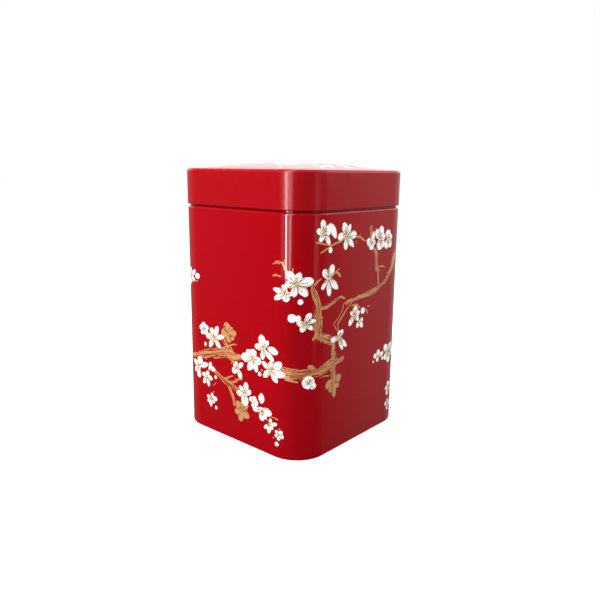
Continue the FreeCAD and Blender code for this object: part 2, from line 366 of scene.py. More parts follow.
def petal(bm, heart, tip, width, lift, start=0.03, steps=20):
    """One petal: narrow at the heart of the flower, round and a little uneven outside."""
    along = bm.verts.layers.float["along"]
    across = bm.verts.layers.float["across"]
    heart, tip = Vector(heart), Vector(tip)
    foot = heart.lerp(tip, start)
    length = (tip - foot).length
    lift += ink_round.uniform(0.0, 0.0012)
    turn = math.atan2(tip.y - foot.y, tip.x - foot.x)
    sharp = ink_round.uniform(0.1, 0.6)
    rim = bmesh.ops.create_circle(bm, cap_ends=True, radius=1.0, segments=steps)["verts"]
    for corner in rim:
        reach = (corner.co.x + 1) / 2
        uneven = 1 + ink_round.uniform(-0.05, 0.05)
        corner[along] = start + (1 - start) * reach
        corner[across] = corner.co.y / 2 + 0.5
        corner.co.x = length * reach * (1 + 0.3 * (uneven - 1))
        corner.co.y *= 0.66 * width * (0.6 + 0.4 * reach) * (1 - sharp * reach**4) * uneven
        corner.co.z = lift
    bmesh.ops.rotate(bm, cent=(0, 0, 0), matrix=Matrix.Rotation(turn, 3, "Z"), verts=rim)
    bmesh.ops.translate(bm, vec=(foot.x, foot.y, 0), verts=rim)


def spot(bm, middle, width, height, lift, turn=0.0, steps=16, tone=0.85):
    """A rounded spot of ink: a bud, a dot, or a gap in a mass of petals."""
    along = bm.verts.layers.float["along"]
    across = bm.verts.layers.float["across"]
    rim = bmesh.ops.create_circle(bm, cap_ends=True, radius=0.5, segments=steps)["verts"]
    lift += ink_round.uniform(0.0, 0.0008)
    for corner in rim:
        corner[along] = tone - 0.3 * (corner.co.y + 0.5)
        corner[across] = corner.co.x + 0.5
        uneven = 1 + ink_round.uniform(-0.05, 0.05)
        corner.co.x *= width * uneven
        corner.co.y *= height * uneven
        corner.co.z = lift
    bmesh.ops.rotate(
        bm, cent=(0, 0, 0), matrix=Matrix.Rotation(math.radians(turn), 3, "Z"), verts=rim
    )
    bmesh.ops.translate(bm, vec=(middle[0], middle[1], 0), verts=rim)


def stroke(bm, points, widths, lift, uneven=0.16, spacing=0.9):
    """A brush stroke through some points, with a width at each and pointed ends."""
    along = bm.verts.layers.float["along"]
    across = bm.verts.layers.float["across"]
    places = [Vector((x, y, 0)) for x, y in points]
    if not isinstance(widths, (tuple, list)):
        widths = [widths] * len(places)
    last = len(places) - 1
    lift += ink_round.uniform(0.0, 0.0004)
    line = []
    for number in range(last):
        before, after = places[max(number - 1, 0)], places[min(number + 2, last)]
        start, end = places[number], places[number + 1]
        steps = max(2, round((end - start).length / spacing))
        curve = interpolate_bezier(
            start, start + (end - before) / 6, end - (after - start) / 6, end, steps + 1
        )
        for step, place in enumerate(curve[:-1]):
            share = step / steps
            line.append((place, widths[number] * (1 - share) + widths[number + 1] * share))
    line.append((places[last], widths[last]))
    (start, start_width), (end, end_width) = line[0], line[-1]
    first_way = (line[1][0] - start).normalized()
    last_way = (end - line[-2][0]).normalized()
    line.insert(0, (start - first_way * 0.3 * start_width, start_width * 0.3))
    line.append((end + last_way * 0.3 * end_width, end_width * 0.3))
    edge = None
    for number, (place, width) in enumerate(line):
        ahead = line[min(number + 1, len(line) - 1)][0] - line[max(number - 1, 0)][0]
        beside = Vector((-ahead.y, ahead.x, 0)).normalized() * width / 2
        if edge is None:
            pair = [bm.verts.new(place - beside), bm.verts.new(place + beside)]
            edge = bm.edges.new(pair)
        else:
            made = bmesh.ops.extrude_edge_only(bm, edges=[edge])["geom"]
            edge = [
                part
                for part in made
                if isinstance(part, bmesh.types.BMEdge) and pair[0] not in part.verts
                and pair[1] not in part.verts
            ][0]
            left = [
                end
                for end in edge.verts
                if pair[0] in [beside_it.other_vert(end) for beside_it in end.link_edges]
            ][0]
            pair = [left, edge.other_vert(left)]
            pair[0].co = place - beside * (1 + ink_round.uniform(-uneven, uneven))
            pair[1].co = place + beside * (1 + ink_round.uniform(-uneven, uneven))
        for side, corner in enumerate(pair):
            corner.co.z = lift
            corner[along] = number * spacing / 10
            corner[across] = side


def new_ink():
    """An empty sheet that one ink is drawn on."""
    bm = bmesh.new()
    bm.verts.layers.float.new("along")
    bm.verts.layers.float.new("across")
    return bm


# The inks lie over one another: gold, then gaps in it where the red shows, then white,
# then the fine gold lines and the dark dots. The lifts keep them apart.
gold_lift, gap_lift, white_lift, fine_lift, dot_lift = 0.013, 0.019, 0.03, 0.038, 0.041
white, gold, fine, dots, gaps = (new_ink() for _ in range(5))


def nick(points, widths):
    """A line in a gold branch where the red shows."""
    stroke(gaps, points, widths, gap_lift)


def bud(middle, width, height):
    """A closed white bud or a single fallen petal."""
    spot(white, middle, width, height, white_lift)


def stamens(heart, tips, reach=0.55):
    """Fine gold lines out of a flower's heart, each with a dark dot at its end."""
    heart = Vector(heart)
    for tip in tips:
        way = Vector(tip) - heart
        if way.length > 4.4:
            swings = (-0.42, -0.02, 0.3)
        else:
            swings = (-0.28, 0.16) if way.length > 2.6 else (0.0,)
        for swing in swings:
            turned = Matrix.Rotation(swing + ink_round.uniform(-0.12, 0.12), 2) @ way
            end = heart + turned * reach * ink_round.uniform(0.7, 1.1)
            bow = Vector((-turned.y, turned.x)) * ink_round.uniform(-0.06, 0.06)
            line = [heart + turned * 0.08, (heart + end) / 2 + bow, end]
            stroke(fine, line, (0.3, 0.28, 0.24), fine_lift)
            lean = math.degrees(math.atan2(way.y, way.x))
            spot(dots, end, 0.56, 0.4, dot_lift, turn=lean, steps=8)


def beside_petal(heart, tip, out, places):
    """A line along one side of a petal, from shares of its length and of its half width."""
    way = Vector(tip) - Vector(heart)
    side = Vector((-way.y, way.x)).normalized() * out * ink_round.choice((-1, 1))
    return [Vector(heart) + way * share + side * apart for share, apart in places]


def blossom(heart, petals, with_stamens=True):
    """A flower seen from the front, from its heart and each petal's tip and width."""
    for number, (x, y, width) in enumerate(petals):
        petal(white, heart, (x, y), width, 0.022 + 0.0015 * number)
    heart = Vector(heart)
    for x, y, width in petals:
        rim = beside_petal(heart, (x, y), 0.46 * width, ((0.22, 0.6), (0.5, 0.98), (0.82, 0.8)))
        stroke(fine, rim, (0.2, 0.26, 0.12), fine_lift - 0.0005)
    inner = 0.42 * sum((Vector((x, y)) - heart).length for x, y, width in petals) / len(petals)
    spot(white, heart, inner, inner, 0.033, tone=0.42, steps=12)
    if with_stamens:
        stamens(heart, [(x, y) for x, y, width in petals])
    else:
        stamens(heart, [(x, y) for x, y, width in petals[::2]], 0.4)


def gold_flower(heart, petals, holes):
    """A flower printed solid in gold, with a few gaps where the red shows."""
    for number, (x, y, width) in enumerate(petals):
        petal(gold, heart, (x, y), 1.2 * width, 0.0122 + 0.0008 * number, start=-0.1)
    for x, y, width in petals:
        vein = beside_petal(heart, (x, y), 0.5 * width, ((0.15, 0.1), (0.45, 0.8), (0.75, 0.9)))
        stroke(gaps, vein, (0.3, 0.34, 0.12), 0.0193)
    for x, y, width in holes:
        spot(gaps, (x, y), width, 0.7 * width, 0.019, turn=40, steps=10)
        stroke(gaps, [(x, y), (x + 1.1 * width, y + 0.6 * width)], (0.4, 0.14), 0.0195)


def bough(points, widths, lift=gold_lift, strands=2):
    """A branch in gold: a broad stroke, loose strands beside it and red lines in it."""
    if not isinstance(widths, (tuple, list)):
        widths = [widths] * len(points)
    thick = max(widths)
    body_share = 0.92 if thick > 1.1 else 0.74
    stroke(gold, points, [width * body_share for width in widths], lift, uneven=0.24, spacing=0.7)
    places = [Vector(point) for point in points]
    beside = []
    for number in range(len(places)):
        ahead = places[min(number + 1, len(places) - 1)] - places[max(number - 1, 0)]
        beside.append(Vector((-ahead.y, ahead.x)).normalized() * widths[number])
    if len(places) < 3:
        return
    for _ in range(round(strands * thick) + 1):
        side = ink_round.choice((-1, 1))
        first = ink_round.randrange(len(places) - 1)
        last = min(len(places), first + ink_round.choice((2, 3)))
        line = [
            places[n] + beside[n] * side * ink_round.uniform(0.46, 0.72) for n in range(first, last)
        ]
        if len(line) > 1:
            stroke(gold, line, [0.14] + [0.3] * (len(line) - 2) + [0.14], lift - 0.001, spacing=0.8)
    if thick < 1.1:
        return
    for _ in range(strands + round(2.2 * thick)):
        share = ink_round.uniform(-0.42, 0.42)
        first = ink_round.randrange(len(places) - 1)
        last = min(len(places), first + ink_round.choice((2, 3, 3, 4)))
        line = [
            places[n] + beside[n] * (share + ink_round.uniform(-0.1, 0.1))
            for n in range(first, last)
        ]
        if len(line) > 1:
            stroke(gaps, line, [0.12] + [0.34] * (len(line) - 2) + [0.1], lift + 0.007, spacing=0.8)
    for _ in range(round(1.4 * thick)):
        number = ink_round.randrange(len(places) - 1)
        start = places[number].lerp(places[number + 1], ink_round.random())
        out = beside[number] * ink_round.choice((-1, 1))
        ahead = Vector((out.y, -out.x)).normalized() * ink_round.uniform(-1.2, 1.2)
        line = [start + out * 0.3, start + out * 0.62 + ahead * 0.5, start + out * 0.85 + ahead]
        stroke(gold, line, (0.5, 0.36, 0.16), lift + 0.001)


# Main branch across the front, and the flowers along it.
bough(
    [(-34, 32.8), (-27, 35), (-20, 37.2), (-13, 39.2), (-7, 40.5), (-3, 40.3), (0, 39.3), (4.5, 40.6)],
    (1.8, 2.2, 3.8, 2.8, 3.8, 4.6, 3.6, 1.6),
    0.012,
)
bough([(-39.5, 34), (-34, 32.8)], (1.6, 1.8), 0.0125)
bough([(-3, 39.5), (1.5, 35.5)], (2.4, 1.6))
bough([(-5, 43.5), (-1.5, 45.2), (1.5, 45.8)], (0.9, 0.6, 0.4))
bough([(-14, 36.2), (-10, 37.4), (-6, 38.8)], (0.5, 0.7, 0.9))
bough([(-7, 41), (-5.5, 43), (-7, 46), (-7.5, 47)], (2.2, 2.5, 1.8, 1.4), 0.0135)
nick([(-22, 35), (-19, 36.5), (-15.5, 37.6)], (0.3, 0.5, 0.2))
nick([(-13, 36.9), (-9, 37.9), (-5, 38.6)], (0.2, 0.5, 0.25))
nick([(-18, 38.6), (-13, 40.1), (-9.5, 41.3)], (0.2, 0.4, 0.2))
nick([(-6, 41.2), (-3, 40.8), (-0.5, 40.2)], (0.2, 0.45, 0.2))
nick([(-28, 34.1), (-24.5, 35.2)], (0.2, 0.3))
blossom(
    (-30.3, 72.6),
    [(-25.8, 75.6, 2.4), (-26.5, 70.7, 2.2), (-30.5, 68.8, 2.4), (-31, 76.8, 2.6),
     (-34.4, 72.6, 2.6), (-33.3, 69.6, 2.4)],
)
bud((-24.3, 73.2), 3.0, 2.8)
spot(gold, (-25, 70.8), 1.2, 0.8, 0.014, turn=30)
blossom(
    (-20.5, 48.8),
    [(-23.6, 49.6, 3.0), (-20.8, 52.0, 3.0), (-17.4, 50.2, 2.8), (-18.2, 46.4, 2.6), (-22.3, 46.2, 2.6)],
)
blossom(
    (-14, 45.8),
    [(-19.2, 46.2, 2.7), (-10.7, 51.8, 2.8), (-7, 47.5, 2.4), (-9.3, 41.8, 2.6), (-16.8, 40.8, 2.6),
     (-15.6, 50.4, 2.6)],
)
bud((-19.7, 41.7), 1.5, 1.9)
gold_flower(
    (-3.8, 49.6),
    [(-5.5, 54.6, 3.6), (1.3, 50.8, 2.8), (-0.2, 47.6, 2.8), (-3.6, 45.5, 3.0), (-8.5, 49.6, 3.4),
     (-1.2, 53.0, 2.4)],
    [(-2.5, 48.5, 1.0), (-1.5, 51.7, 0.9), (-6.5, 52.3, 0.9)],
)
blossom(
    (1.8, 34.7),
    [(1.0, 38.0, 2.0), (5.4, 38.0, 2.2), (-1.6, 32.6, 2.9), (4.2, 30.5, 2.6), (-0.8, 36.2, 1.8)],
)

# The flowers where the branch meets the corner.
blossom(
    (12, 41.3),
    [(4.3, 41.0, 3.8), (8.6, 35.6, 3.6), (13.8, 35.8, 3.0), (16.6, 41, 3.4), (11.5, 45.8, 4.0),
     (7.6, 44.6, 3.2)],
)
blossom(
    (17.8, 47.3),
    [(16.5, 53.2, 4.0), (12.8, 47.5, 2.8), (17.3, 42.3, 2.6), (24, 43, 2.6), (20.9, 51.2, 2.6)],
)
petal(white, (19.6, 48.2), (26.2, 47.0), 3.0, 0.026, start=0.12)
blossom(
    (22, 38.7),
    [(17, 41.4, 2.6), (28.2, 43, 3.5), (29.7, 37.8, 3.3), (26, 34, 3.0), (18, 34.8, 2.8), (22.4, 42.8, 2.4)],
)
spot(white, (15.7, 35.5), 2.0, 2.0, 0.032)
spot(gold, (17, 37.5), 1.2, 0.9, 0.036)

# Flowers under the branch, the second branch and its twigs.
blossom(
    (-24.8, 29.5),
    [(-23.5, 34.8, 3.8), (-29.3, 32.2, 2.7), (-28.2, 26.8, 2.7), (-18.3, 32.2, 2.7), (-24.8, 24.1, 2.7)],
)
blossom((-17.2, 30.2), [(-13.2, 30.7, 2.4), (-16.3, 33.6, 2.2)], False)
blossom(
    (-19, 26),
    [(-22.6, 26.7, 2.2), (-15.3, 25.4, 2.2), (-21.6, 22.2, 2.2), (-17.8, 21.3, 2.2), (-18.4, 28.9, 2.2)],
)
spot(gaps, (-20.8, 28.2), 0.8, 0.6, 0.036, steps=8)
bud((-13, 27), 1.5, 1.8)
bough([(-13.5, 30), (-8, 27.5), (-4, 26), (2.5, 24.5)], (1.6, 2.0, 2.1, 1.7), 0.012)
nick([(-12.2, 29.3), (-8, 27.6), (-4.2, 26.2)], (0.2, 0.35, 0.2))
bough([(-6.5, 27.5), (-4, 29.2), (-1, 30.5)], (0.9, 0.7, 0.4))
bough([(-4, 26.5), (1, 28.5), (3, 30.5)], (1.0, 0.8, 0.5), 0.0135)
bough([(0, 29.3), (5, 30.2)], (0.5, 0.4))
bough([(-4, 24.7), (-1, 20), (-0.5, 16.5)], (1.3, 1.2, 1.0))
gold_flower(
    (4.0, 15.4),
    [(1.0, 19.4, 3.2), (8.6, 19.2, 2.2), (-0.2, 13.8, 3.0), (3.4, 10.1, 3.0), (9.1, 13.4, 3.1),
     (4.8, 20.0, 2.6)],
    [(3, 16.5, 0.9), (5.6, 17.6, 0.8)],
)
blossom(
    (6.4, 24.0),
    [(7.5, 29.6, 3.1), (3.0, 27.0, 2.2), (10.2, 26.2, 2.6), (1.0, 23.2, 3.0), (6.4, 18.4, 4.4)],
)
blossom((12.0, 21.8), [(9.2, 23.0, 2.4), (12.6, 24.5, 2.8), (14.7, 21.6, 2.6), (11.6, 18.8, 2.6)], False)
blossom(
    (16.5, 19.5),
    [(22.8, 19, 3.5), (17.3, 14.4, 3.1), (11.4, 18.2, 2.6), (19.8, 15.8, 2.4)],
)
petal(white, (16.6, 21.4), (16.8, 27.0), 3.3, 0.03, start=0.14)
bough([(22.5, 17.8), (24.6, 17.9), (26.5, 17.5)], (0.5, 0.5, 0.3))
blossom(
    (22, 14.1),
    [(22.2, 16.9, 1.7), (25.9, 15.4, 1.7), (18.3, 11.5, 2.1), (20.9, 9.8, 2.0), (23.5, 12.2, 1.8)],
    False,
)
stamens((21.8, 14.2), [(23.6, 12.4), (19.4, 12.2)])
bough([(19, 16.7), (21, 15)], (0.6, 0.5), 0.03)
blossom(
    (27, 10.7),
    [(25.0, 12.4, 1.9), (28.6, 12.8, 2.0), (29.2, 9.8, 1.9), (26.8, 8.2, 1.9), (24.7, 9.8, 1.6)],
    False,
)
stamens((27, 10.7), [(28.4, 12.2), (25.6, 9.2)])
spot(gold, (27.3, 13.5), 1.0, 0.6, 0.034)
spot(gold, (24, 8.7), 0.9, 0.6, 0.034)
bud((25.8, 6.3), 2.0, 2.0)
blossom(
    (-16.3, 15.8),
    [(-15.5, 18.6, 2.0), (-19.4, 16.6, 1.8), (-19.1, 13.7, 1.8), (-16.8, 11.6, 2.2),
     (-12.2, 16.4, 2.2), (-14.1, 14.0, 1.8)],
)
bud((-13, 12), 1.45, 1.75)
bough([(-15, 22.5), (-12.7, 24.3)], (0.4, 0.3))
spot(gold, (-14.5, 19.5), 0.9, 0.5, 0.013, turn=60)

# High on the corner and over it.
blossom(
    (34, 76.7),
    [(30.2, 81.7, 3.6), (41.2, 78.1, 3.6), (38.6, 71.8, 3.1), (33, 71.4, 3.0), (29.4, 76.4, 3.0),
     (35.6, 81.4, 2.8)],
)
blossom(
    (30, 72.8),
    [(23.5, 74.1, 2.4), (24.2, 69.8, 2.3), (29.8, 69.2, 3.2), (32.6, 72.4, 1.8), (28.4, 76.2, 2.2)],
)
bud((35.8, 69.4), 2.3, 2.3)
bough([(30.5, 81), (29, 83), (28, 85.3)], (0.6, 0.7, 0.6))
bough([(28.5, 84.6), (26.5, 85.4), (24.5, 85.2)], (0.6, 0.5, 0.3), 0.0135)
bough([(27, 84.8), (25, 84.8), (23.3, 84.2)], (0.5, 0.4, 0.3))
bough([(28.5, 84.5), (29.3, 86)], (0.5, 0.3))
bough([(23.3, 79), (24.5, 79.6), (27.5, 79.4)], (0.4, 0.6, 0.4))
bough([(32.7, 83), (32.3, 81)], (0.6, 0.6))
bud((32.5, 62.5), 3.8, 3.6)
petal(white, (34.6, 60.6), (35.2, 63.9), 2.2, 0.032)
blossom(
    (37.7, 60.3),
    [(40.2, 64.7, 2.5), (42.5, 61.6, 1.9), (41.1, 57.6, 2.0), (36.2, 56.8, 2.6), (34.4, 60.6, 2.6)],
)

# The trunk that rises over the corner, and its boughs.
bough(
    [(40.7, 76), (42, 73.5), (43.3, 70.5), (44.2, 67), (43.9, 63), (43.7, 58), (43.5, 54.5)],
    (0.7, 0.9, 1.2, 2.0, 3.2, 3.6, 3.4),
    0.012,
)
bough([(40.2, 75.5), (40.7, 72), (42.5, 68), (43.2, 65)], (0.6, 0.7, 0.9, 1.1), 0.0125)
bough(
    [(44.5, 66.3), (48, 66.2), (52, 67.3), (55, 68.5), (58, 69.1), (61, 67.8)],
    (1.8, 1.5, 1.2, 1.0, 0.8, 0.5),
)
bough([(43, 54.9), (41.3, 53.3)], (1.6, 1.2))
bough([(43.8, 55), (47, 53.2), (50, 51.5), (54, 49.5)], (2.8, 2.5, 2.3, 2.1), 0.0135)
bough([(46, 54.2), (50, 53.6), (53, 52)], (0.6, 0.5, 0.4))
bough([(40.5, 59.5), (41.8, 58), (43, 57)], (0.5, 0.8, 1.0))
nick([(43.1, 64.6), (43.2, 60), (42.9, 56)], (0.15, 0.4, 0.2))
nick([(44.7, 62), (44.8, 58.5), (44.6, 55.5)], (0.15, 0.35, 0.2))
nick([(45.5, 53.7), (49, 51.9), (52, 50.6)], (0.15, 0.35, 0.15))
blossom(
    (46.3, 96.8),
    [(45, 102.2, 2.8), (42.2, 98.0, 2.6), (43.6, 93.5, 2.4), (49.9, 92.0, 2.6), (48.6, 99.8, 2.2)],
)
petal(white, (50.8, 103.2), (48.3, 95.4), 2.9, 0.03, start=0.33)
petal(white, (49.0, 103.2), (53.6, 94.2), 3.2, 0.032, start=0.33)
bough([(42, 93.3), (46, 92.5), (50, 91.8)], (0.4, 0.5, 0.6))
bough([(44.3, 88.8), (48, 90.3), (52, 91.8), (58, 93)], (0.6, 0.7, 0.8, 0.9), 0.0135)
bud((50.2, 89.6), 2.5, 2.4)
blossom(
    (61, 94.7),
    [(58.7, 100.2, 3.8), (54.9, 94.4, 3.2), (68.0, 94.9, 3.2), (66.2, 89.6, 2.6), (60.4, 88.7, 3.2),
     (63.6, 99.4, 2.6)],
)
bough([(67, 93.8), (71, 93.5), (73, 92.2), (76.5, 90.8)], (0.6, 0.8, 0.8, 0.7))
bough([(70.2, 93.6), (70.7, 94.8)], (0.5, 0.3))
bough([(67.8, 92), (68.2, 90.9)], (0.5, 0.3))
bough([(79.3, 92.6), (79, 95), (78.8, 97.6)], (1.2, 1.4, 1.2), 0.022)
blossom((79.5, 91.0), [(76.0, 90.4, 3.6), (79.8, 87.0, 3.6), (82.4, 89.6, 3.0)])
petal(white, (80.2, 88.6), (81.0, 95.2), 2.2, 0.03, start=0.14)
blossom(
    (86.2, 91.4),
    [(82.6, 95.6, 3.6), (87.6, 97.2, 4.0), (90.4, 92.6, 3.6), (86.2, 86.4, 4.6), (89.4, 87.6, 3.6)],
)
spot(gaps, (82.7, 91.6), 1.1, 0.9, 0.036, steps=10)
blossom((93.0, 90.8), [(92.4, 95.2, 4.2), (95.2, 87.0, 3.8), (91.0, 86.6, 3.6), (96.0, 92.4, 3.2)])
bough(
    [(81, 88), (82.8, 86.5), (84, 84), (84.2, 80), (84.3, 77.5), (85.5, 77), (86.2, 70.5)],
    (1.2, 1.5, 1.6, 1.4, 1.2, 0.9, 0.9),
    0.012,
)
bough([(85, 78.2), (88, 78.9), (91, 78.1)], (0.7, 0.6, 0.4))
spot(gold, (87, 77), 0.8, 0.8, 0.013, steps=8)
blossom(
    (49.5, 78),
    [(52.4, 83.4, 3.6), (45.8, 81.8, 3.1), (45.1, 73.9, 2.1), (50.2, 70.5, 3.1), (55.9, 72.8, 3.2)],
)
stroke(gold, [(54.2, 80.0), (56.0, 79.4), (57.4, 77.8)], (0.5, 1.3, 0.9), 0.013)
stroke(gold, [(52.0, 78.6), (54.6, 80.4), (56.6, 81.2)], (0.4, 0.6, 0.3), 0.0362)
bough([(45, 78.3), (43, 77.3), (41.5, 76)], (0.5, 0.6, 0.7), 0.0135)
blossom(
    (57.5, 51.3),
    [(60.2, 54.2, 2.4), (51.8, 51, 2.6), (63.2, 46.1, 2.5), (60.3, 45.2, 2.3), (57.6, 54.4, 2.2)],
)

# The bough that runs down the right-hand face, and its gold leaf and flower.
bough([(54, 49.5), (53.6, 46), (54.2, 42), (54.2, 38), (54.5, 33.5)], (2.1, 2.2, 2.6, 2.8, 2.8), 0.0125)
bough([(55.5, 40.5), (58, 41), (61.2, 41.3)], (2.0, 1.8, 1.5))
bough(
    [(53, 40), (49, 39.5), (45, 39.2), (40, 39), (35, 38.6), (28, 38.8)],
    (3.0, 2.6, 2.8, 3.0, 3.6, 4.4),
    0.0135,
)
bough([(45, 40.3), (48, 41.3), (51.5, 42.5), (53, 43)], (0.6, 0.7, 0.7, 0.9))
bough([(45, 36), (48, 36.3), (51.5, 35.5)], (0.3, 0.4, 0.4))
bough([(30, 36.2), (33, 35.5), (35.3, 35.2)], (1.0, 0.8, 0.4))
petal(gold, (42.5, 40.6), (39.2, 42.2), 1.9, 0.014, start=0.0)
nick([(27, 39.4), (30, 39.9), (33, 39.7)], (0.2, 0.4, 0.2))
nick([(31, 37.1), (34, 37.6), (37, 37.5)], (0.15, 0.4, 0.2))
nick([(40, 39.6), (45, 39.8), (49, 40.0)], (0.15, 0.3, 0.15))
nick([(54.8, 44), (55, 40), (54.9, 36.5)], (0.15, 0.35, 0.15))
gold_flower(
    (54.0, 31.6),
    [(48.8, 31.4, 3.6), (55.2, 24.8, 2.5), (59.8, 33.6, 3.4), (54.4, 35.2, 2.0), (51.6, 27.8, 2.4),
     (58.4, 29.0, 2.4)],
    [(53.3, 31.8, 1.0), (56.4, 31.2, 0.8)],
)
bud((39.6, 35.0), 5.6, 5.6)
spot(white, (41.6, 33.2), 3.2, 2.8, 0.032)
stroke(fine, [(37.8, 34.0), (39.6, 34.2), (41.8, 34.4)], (0.2, 0.34, 0.2), 0.038)
stamens((39.6, 34.3), [(37.8, 37.6), (40.6, 38.4), (42.4, 37.2)])
stamens((40.8, 33.6), [(40.0, 31.6), (42.4, 31.8)], 0.7)

# The long branch over the right-hand face, and the flowers that hang from it.
bough(
    [(62, 65), (66, 66), (72, 67), (78, 67.3), (84, 68), (88, 69.5), (92, 71.5), (95, 75),
     (97.5, 79), (99, 82), (103, 84.5), (108, 83), (112, 79)],
    (0.9, 1.2, 1.8, 2.2, 2.0, 1.5, 1.7, 1.9, 2.2, 2.4, 1.8, 1.1, 0.6),
    0.012,
)
bough([(66, 65.3), (62, 62.5), (58.5, 59.5), (56.5, 57.5), (57, 55)], (0.6, 0.7, 0.7, 0.7, 0.5))
bough([(60, 65), (59, 62.5), (56, 59.5), (53.6, 58), (55, 56), (56, 54.5)], 0.5, 0.0135)
bough([(60, 65.3), (63, 66.3), (66, 66.7)], (0.4, 0.6, 0.6))
nick([(72, 67.4), (76, 67.9), (81, 67.7)], (0.15, 0.35, 0.15))
nick([(93.5, 74), (95.8, 77.6), (97.8, 81)], (0.15, 0.4, 0.15))
bough([(66, 64), (70, 63.7), (72.3, 61.8)], (0.6, 0.8, 0.7))
blossom(
    (68.5, 59),
    [(69, 63.4, 3.5), (65.2, 61, 2.4), (64.3, 55.1, 3.0), (72.2, 60.2, 2.6), (71.6, 56.4, 2.4)],
)
blossom((72.6, 55.8), [(70.2, 53.2, 2.4), (74.8, 52.6, 2.4), (75.0, 56.2, 2.2)], False)
bud((74.6, 60.2), 3.2, 3.0)
bough([(78, 61.8), (80.5, 61.5)], (0.6, 0.4))
bough([(76.5, 60.5), (77.8, 59.4), (78.5, 58)], (0.7, 0.6, 0.4))

# The cluster at the far side of the right-hand face.
blossom((88.3, 35.5), [(84.8, 36.6, 2.5), (88.8, 38.9, 2.7), (91.8, 36.4, 2.5), (88, 33.0, 2.5)], False)
stamens((88.2, 35.6), [(90.2, 37.2), (86.4, 34.6)])
spot(white, (84.6, 33.8), 1.2, 1.2, 0.03, steps=10)
petal(white, (91.6, 35.2), (92.6, 37.4), 1.6, 0.03)
petal(white, (91.8, 35.0), (92.8, 33.0), 1.6, 0.03)
blossom(
    (97.3, 35.4),
    [(93.6, 40.0, 3.4), (99.6, 40.4, 3.6), (93.6, 33.2, 3.2), (101.8, 35.4, 3.4), (97.6, 30.6, 3.2)],
)
blossom(
    (99.2, 17),
    [(98.3, 20.6, 2.8), (96.0, 17.4, 2.4), (97.4, 13.6, 2.4), (103.0, 15.6, 2.6),
     (102.2, 19.2, 2.4)],
)
blossom((99, 8.4), [(96.2, 9.6, 2.2), (99.2, 11.4, 2.4), (102.2, 8.6, 2.2), (98.6, 5.7, 2.2)])


def on_wall(round_wall, up, lift):
    """The place on the wall at a distance round it, and the way it faces there."""
    side = 2 * flat_half + corner_arc
    quarter, reach = divmod(round_wall + flat_half, side)
    if reach < 2 * flat_half:
        outward = Vector((0, -1, 0))
        place = Vector((reach - flat_half, -half_width - lift, up))
    else:
        turn = (reach - 2 * flat_half) / corner_radius
        outward = Vector((math.sin(turn), -math.cos(turn), 0))
        place = Vector((flat_half, -flat_half, up)) + outward * (corner_radius + lift)
    turned = Matrix.Rotation(math.radians(90 * quarter), 3, "Z")
    return turned @ place, turned @ outward


def make_film(bm, name, finish, wrap):
    """Makes drawn ink into a closed film a few hundredths thick, laid on its surface."""
    bmesh.ops.solidify(bm, geom=bm.faces[:], thickness=0.02)
    bmesh.ops.recalc_face_normals(bm, faces=bm.faces)
    along = bm.verts.layers.float["along"]
    across = bm.verts.layers.float["across"]
    unwrapped = bm.loops.layers.uv.new("ink")
    for face in bm.faces:
        for loop in face.loops:
            loop[unwrapped].uv = (loop.vert[across], loop.vert[along])
    bm.verts.index_update()
    outward = []
    for corner in bm.verts:
        corner.co, way = wrap(*corner.co)
        outward.append(way)
    film = make_piece(bm, name, (finish,))
    film.data.normals_split_custom_set_from_vertices(outward)
    return film


def cut(bm, place, way):
    """Splits the faces of a drawing where it is going to bend."""
    whole = bm.verts[:] + bm.edges[:] + bm.faces[:]
    bmesh.ops.bisect_plane(bm, geom=whole, dist=0.0005, plane_co=place, plane_no=way)


def print_twice_round(bm):
    """Repeats the picture half way round, and splits it where the wall's corners bend."""
    copied = bmesh.ops.duplicate(bm, geom=bm.verts[:] + bm.edges[:] + bm.faces[:])["geom"]
    bmesh.ops.translate(bm, vec=(half_girth, 0, 0), verts=corners_in(copied))
    for corner in range(-1, 4):
        start = flat_half + corner * (2 * flat_half + corner_arc)
        for step in range(corner_steps + 1):
            cut(bm, (start + corner_arc * step / corner_steps, 0, 0), (1, 0, 0))


# A Mix node's colour sockets share their names with its float ones, so they go by number.
first_colour, second_colour, mixed_colour = 6, 7, 2
white_ink, tree, shader = new_finish("white_ink")
varnish_over(tree, shader, gloss, 0.2, mottle=2600.0)
drawn = new_node(tree, "UVMap")
drawn.uv_map = "ink"
split = new_node(tree, "SeparateXYZ")
tree.links.new(drawn.outputs["UV"], split.inputs["Vector"])
warmth = two_tones(tree, split.outputs["Y"], (0.80, 0.62, 0.34), (0.965, 0.96, 0.945), 0.04, 0.5)
cream = warmth.node.color_ramp.elements.new(0.24)
cream.color = (0.90, 0.83, 0.70, 1)
lengthwise = new_node(tree, "Mapping", Scale=(14.0, 2.0, 1.0))
veins = new_node(tree, "TexNoise", Scale=1.0, Detail=2.0)
tree.links.new(drawn.outputs["UV"], lengthwise.inputs["Vector"])
tree.links.new(lengthwise.outputs["Vector"], veins.inputs["Vector"])
washed = new_node(tree, "Mix")
washed.data_type = "RGBA"
washed.blend_type = "MULTIPLY"
spread(tree, veins.outputs["Fac"], washed.inputs["Factor"], 0.0, 0.55, 0.45, 0.75)
washed.inputs[second_colour].default_value = (0.98, 0.95, 0.91, 1)
tree.links.new(warmth, washed.inputs[first_colour])
tree.links.new(washed.outputs[mixed_colour], shader.inputs["Base Color"])

gold_ink, tree, shader = new_finish("gold_ink")
shader.inputs["Metallic"].default_value = 0.42
shader.inputs["Coat Weight"].default_value = 0.5
varnish_over(tree, shader, (0.30, 0.42), 0.25, ((0.64, 0.335, 0.13), (0.82, 0.455, 0.195)))

stamen_ink, tree, shader = new_finish("stamen_gold_ink")
varnish_over(tree, shader, (0.07, 0.12), 0.25, ((0.24, 0.125, 0.02), (0.36, 0.20, 0.04)))

